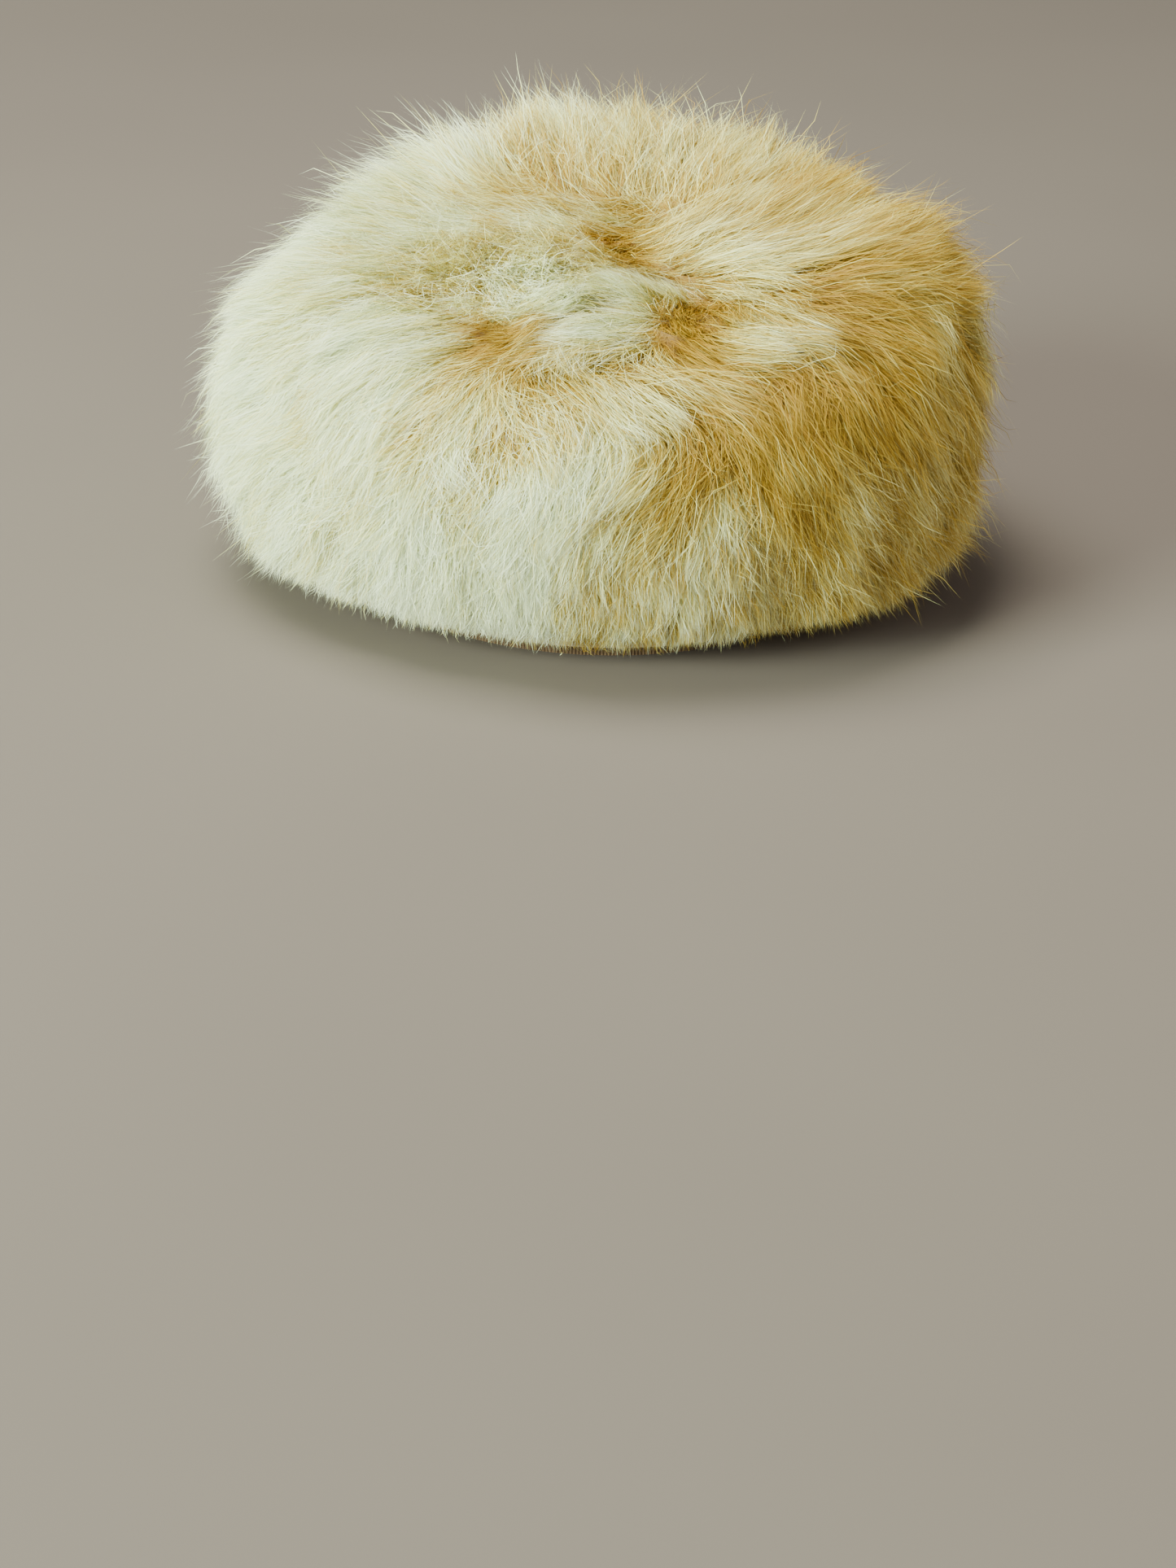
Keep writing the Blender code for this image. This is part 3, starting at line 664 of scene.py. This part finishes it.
def underfur(shell, lie, material):
    """The dense short fur under the strands: a lumpy surface from the crown to the rim."""
    columns = AZIMUTHS // 2
    places = shell.grid_at(BASE_LEVEL)
    lumps = 0.0010 * waves(places, 21, 0.010) + 0.0006 * waves(places, 22, 0.005)
    places = places + shell.normal * lumps[..., None]
    tone = lie[2]
    verts = [tuple(places[0, 0])]
    tones = [float(tone[0, 0])]
    last = shell.last_row
    lowest = int(last.max())
    kept = range(1, lowest, 2)
    for row in kept:
        for column in range(0, AZIMUTHS, 2):
            at = min(row, int(last[column]))
            verts.append(tuple(places[at, column]))
            tones.append(float(tone[at, column]))
    skin = shell.grid_at(SEAM_LEVEL)
    for column in range(0, AZIMUTHS, 2):
        verts.append(tuple(skin[int(last[column]), column]))
        tones.append(-0.3)
    faces = []
    for column in range(columns):
        after = (column + 1) % columns
        faces.append((0, 1 + column, 1 + after))
        for row in range(len(kept)):
            first = 1 + row * columns
            below = first + columns
            faces.append((first + column, below + column, below + after, first + after))
    mesh = bpy.data.meshes.new("fur_base")
    mesh.from_pydata(verts, [], faces)
    layer = mesh.attributes.new("tone", "FLOAT", "POINT")
    layer.data.foreach_set("value", np.array(tones, dtype=np.float32))
    mesh.shade_smooth()
    mesh.materials.append(material)
    piece = bpy.data.objects.new("fur_base", mesh)
    bpy.context.scene.collection.objects.link(piece)
    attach(piece, "root")
    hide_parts("side_fur", "crown_fur")
    return piece


class Nodes:
    """A material and short ways to add its nodes."""

    def __init__(self, name, roughness, sheen=0.0, specular=0.3):
        self.material = bpy.data.materials.new(name)
        self.material.use_nodes = True
        self.tree = self.material.node_tree
        self.surface = self.tree.nodes["Principled BSDF"]
        self.surface.inputs["Roughness"].default_value = roughness
        self.surface.inputs["Specular IOR Level"].default_value = specular
        self.surface.inputs["Sheen Weight"].default_value = sheen

    def add(self, kind, values=None, **settings):
        """A new node, with its inputs set or linked by name or number."""
        node = self.tree.nodes.new(kind)
        for name, value in settings.items():
            setattr(node, name, value)
        for key, value in (values or {}).items():
            if isinstance(value, bpy.types.NodeSocket):
                self.tree.links.new(value, node.inputs[key])
            else:
                node.inputs[key].default_value = value
        return node

    def ramp(self, factor, *stops):
        """A colour ramp with (place, colour) stops."""
        node = self.add("ShaderNodeValToRGB", {"Fac": factor})
        elements = node.color_ramp.elements
        while len(elements) < len(stops):
            elements.new(0.5)
        for element, (place, colour) in zip(elements, stops):
            element.position = place
            element.color = (*colour, 1)
        return node.outputs["Color"]

    def maths(self, operation, first, second=0.0, third=0.0):
        """A Math node's result."""
        node = self.add("ShaderNodeMath", {0: first, 1: second, 2: third}, operation=operation)
        return node.outputs[0]

    def colour(self, socket):
        """Gives the surface its colour."""
        self.tree.links.new(socket, self.surface.inputs["Base Color"])

    def bump(self, height, strength, distance):
        """Gives the surface its relief."""
        node = self.add("ShaderNodeBump", {"Height": height, "Strength": strength, "Distance": distance})
        self.tree.links.new(node.outputs["Normal"], self.surface.inputs["Normal"])


def strand_material():
    """Hair: golden at the root and cream at the tip, partly painted shade deep in the fur; whiter or more
    golden by its tone.
    """
    nodes = Nodes("fur_strands", roughness=0.50, sheen=0.0, specular=0.35)
    spot = nodes.add("ShaderNodeUVMap", uv_map="OFBake")
    parts = nodes.add("ShaderNodeSeparateXYZ", {0: spot.outputs["UV"]})
    along = nodes.maths("MULTIPLY", parts.outputs["X"], 0.36)
    tone = nodes.maths("MULTIPLY", parts.outputs["Y"], 0.92)
    both = nodes.maths("ADD", along, tone)
    # Painted shade: the golden roots stand partly for shade deep in the fur; painted light: the greenish
    # whitest stops stand for the cool light of the lit side
    nodes.colour(
        nodes.ramp(
            both,
            (0.10, (0.34, 0.158, 0.005)),
            (0.40, (0.57, 0.375, 0.033)),
            (0.62, (0.80, 0.70, 0.21)),
            (0.84, (0.90, 0.93, 0.49)),
            (1.00, (0.91, 0.98, 0.72)),
        )
    )
    return nodes.material


def underfur_material():
    """The dense fur below the strands, streaked and golden."""
    nodes = Nodes("underfur", roughness=0.85, sheen=0.2)
    place = nodes.add("ShaderNodeTexCoord").outputs["Object"]
    stretched = nodes.add("ShaderNodeMapping", {"Vector": place, "Scale": (1.0, 1.0, 0.35)})
    fine = nodes.add("ShaderNodeTexNoise", {"Vector": stretched.outputs[0], "Scale": 900, "Detail": 4})
    patches = nodes.add("ShaderNodeTexNoise", {"Vector": place, "Scale": 60, "Detail": 3})
    # The tone attribute carries the comb's tone, with its painted light on the left and painted shade on
    # the right and in the hollows
    tone = nodes.add("ShaderNodeAttribute", attribute_name="tone").outputs["Fac"]
    mixed = nodes.maths("MULTIPLY_ADD", fine.outputs["Fac"], 0.5, 0.1)
    mixed = nodes.maths("MULTIPLY_ADD", patches.outputs["Fac"], 0.4, mixed)
    mixed = nodes.maths("MULTIPLY_ADD", tone, 0.5, mixed)
    nodes.colour(
        nodes.ramp(
            mixed,
            (0.15, (0.24, 0.125, 0.012)),
            (0.45, (0.46, 0.27, 0.040)),
            (0.75, (0.72, 0.55, 0.18)),
            (1.00, (0.86, 0.78, 0.42)),
        )
    )
    nodes.bump(fine.outputs["Fac"], 0.6, 0.0008)
    return nodes.material


def suede_material():
    """The inside of the skins: matt suede with a fine nap and faint stains."""
    nodes = Nodes("suede", roughness=0.9, sheen=0.25, specular=0.2)
    place = nodes.add("ShaderNodeTexCoord").outputs["Object"]
    stains = nodes.add("ShaderNodeTexNoise", {"Vector": place, "Scale": 22, "Detail": 5})
    nap = nodes.add("ShaderNodeTexNoise", {"Vector": place, "Scale": 1400, "Detail": 3})
    pores = nodes.add("ShaderNodeTexVoronoi", {"Vector": place, "Scale": 420})
    mixed = nodes.maths("MULTIPLY_ADD", nap.outputs["Fac"], 0.25, 0.0)
    mixed = nodes.maths("MULTIPLY_ADD", stains.outputs["Fac"], 0.75, mixed)
    nodes.colour(
        nodes.ramp(
            mixed,
            (0.30, (0.36, 0.26, 0.16)),
            (0.52, (0.52, 0.41, 0.27)),
            (0.75, (0.66, 0.55, 0.40)),
        )
    )
    height = nodes.maths("ADD", nap.outputs["Fac"], pores.outputs["Distance"])
    nodes.bump(height, 0.35, 0.0004)
    return nodes.material


def tape_material():
    """The band: brown ribbed tape, its ribs running across it."""
    nodes = Nodes("ribbed_tape", roughness=0.75, sheen=0.3, specular=0.25)
    place = nodes.add("ShaderNodeTexCoord").outputs["Object"]
    parts = nodes.add("ShaderNodeSeparateXYZ", {0: place})
    angle = nodes.maths("ARCTAN2", parts.outputs["Y"], parts.outputs["X"])
    ribs = nodes.maths("SINE", nodes.maths("MULTIPLY", angle, 560.0))
    threads = nodes.maths("SINE", nodes.maths("MULTIPLY", parts.outputs["Z"], 9000.0))
    worn = nodes.add("ShaderNodeTexNoise", {"Vector": place, "Scale": 130, "Detail": 4})
    height = nodes.maths("MULTIPLY_ADD", threads, 0.25, ribs)
    mixed = nodes.maths("MULTIPLY_ADD", height, 0.14, worn.outputs["Fac"])
    nodes.colour(
        nodes.ramp(
            mixed,
            (0.25, (0.075, 0.040, 0.018)),
            (0.55, (0.150, 0.088, 0.042)),
            (0.85, (0.250, 0.160, 0.085)),
        )
    )
    nodes.bump(height, 0.5, 0.0004)
    return nodes.material


def floor_material():
    """A plain pale studio paper."""
    nodes = Nodes("studio_paper", roughness=0.9, specular=0.1)
    place = nodes.add("ShaderNodeTexCoord").outputs["Object"]
    grain = nodes.add("ShaderNodeTexNoise", {"Vector": place, "Scale": 3, "Detail": 2})
    nodes.colour(
        nodes.ramp(
            grain.outputs["Fac"],
            (0.30, (0.168, 0.141, 0.123)),
            (0.70, (0.180, 0.152, 0.132)),
        )
    )
    return nodes.material


def studio(material):
    """A sweep of paper under and behind the hat."""
    rows = []
    for i in range(PAPER_STEPS + 1):
        s = 2 * i / PAPER_STEPS
        if s < 1:
            rows.append((PAPER_FRONT + s * (PAPER_BEND - PAPER_FRONT), 0.0))
        else:
            bend = (s - 1) * math.pi / 2
            rows.append((PAPER_BEND + PAPER_RADIUS * math.sin(bend), PAPER_RADIUS * (1 - math.cos(bend))))
    rows.append((PAPER_BEND + PAPER_RADIUS, PAPER_TOP))
    verts = [(x, y, z) for y, z in rows for x in (-PAPER_HALF_WIDTH, PAPER_HALF_WIDTH)]
    faces = [(2 * i, 2 * i + 1, 2 * i + 3, 2 * i + 2) for i in range(len(rows) - 1)]
    mesh = bpy.data.meshes.new("floor")
    mesh.from_pydata(verts, [], faces)
    mesh.shade_smooth()
    mesh.materials.append(material)
    floor = bpy.data.objects.new("floor", mesh)
    bpy.context.scene.collection.objects.link(floor)


def lamp(name, place, aim, size, power, colour):
    """A soft square light that looks at a point."""
    data = bpy.data.lights.new(name, "AREA")
    data.size = size
    data.energy = power
    data.color = colour
    light = bpy.data.objects.new(name, data)
    light.location = place
    light.rotation_euler = (Vector(aim) - Vector(place)).to_track_quat("-Z", "Y").to_euler()
    bpy.context.scene.collection.objects.link(light)


def light_up():
    """Cool window light from the left, a weak warm fill at the right and a pale room."""
    lamp("window", (-1.45, -1.18, 0.72), (0, 0, 0.05), 1.0, 106, (0.86, 1.0, 0.84))
    lamp("top", (-0.4, 0.2, 1.7), (0, 0, 0.08), 1.0, 54, (0.98, 1.0, 0.88))
    lamp("fill", (1.6, -1.1, 0.7), (0, 0, 0.05), 2.0, 14, (1.0, 0.88, 0.68))
    world = bpy.data.worlds.new("room")
    world.use_nodes = True
    world.node_tree.nodes["Background"].inputs["Color"].default_value = (0.95, 0.96, 1.0, 1)
    world.node_tree.nodes["Background"].inputs["Strength"].default_value = 0.30
    bpy.context.scene.world = world


def dress(names, material):
    """Gives CAD nodes a new material."""
    for name in names:
        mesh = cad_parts[name].data
        mesh.materials.clear()
        mesh.materials.append(material)


def regions(rays):
    """Which of the five hair pieces each strand belongs to: the crown, or one of four sides."""
    share = len(rays) // len(HAIR_PIECES)
    crown = rays[:, 2] >= np.quantile(rays[:, 2], 0.8)
    around = np.mod(np.degrees(np.arctan2(rays[:, 1], rays[:, 0])) + 135, 360)
    order = np.argsort(np.where(crown, 999.0, around))
    place = np.empty(len(rays), dtype=int)
    place[order] = np.minimum(np.arange(len(rays)) // share, len(HAIR_PIECES) - 1)
    return place


def main():
    """Builds the scene."""
    camera = place_camera()
    studio(floor_material())
    light_up()
    dress(("side_skin", "crown_skin"), suede_material())
    dress(("rim_band",), tape_material())
    shell = Shell()
    lie = comb(shell, camera)
    underfur(shell, lie, underfur_material())
    rays, paths, widths, tones, chance = strand_paths(shell, lie)
    material = strand_material()
    place = regions(rays)
    for number, name in enumerate(HAIR_PIECES):
        mine = np.nonzero(place == number)[0]
        long, short = mine[:LONG_A_PIECE], mine[LONG_A_PIECE:]
        parts = (
            ribbon_parts(shell, paths[long], widths[long], tones[long], LONG_POINTS, chance),
            ribbon_parts(shell, paths[short], widths[short], tones[short], SHORT_POINTS, chance),
        )
        ribbons(name, parts, material)


main()
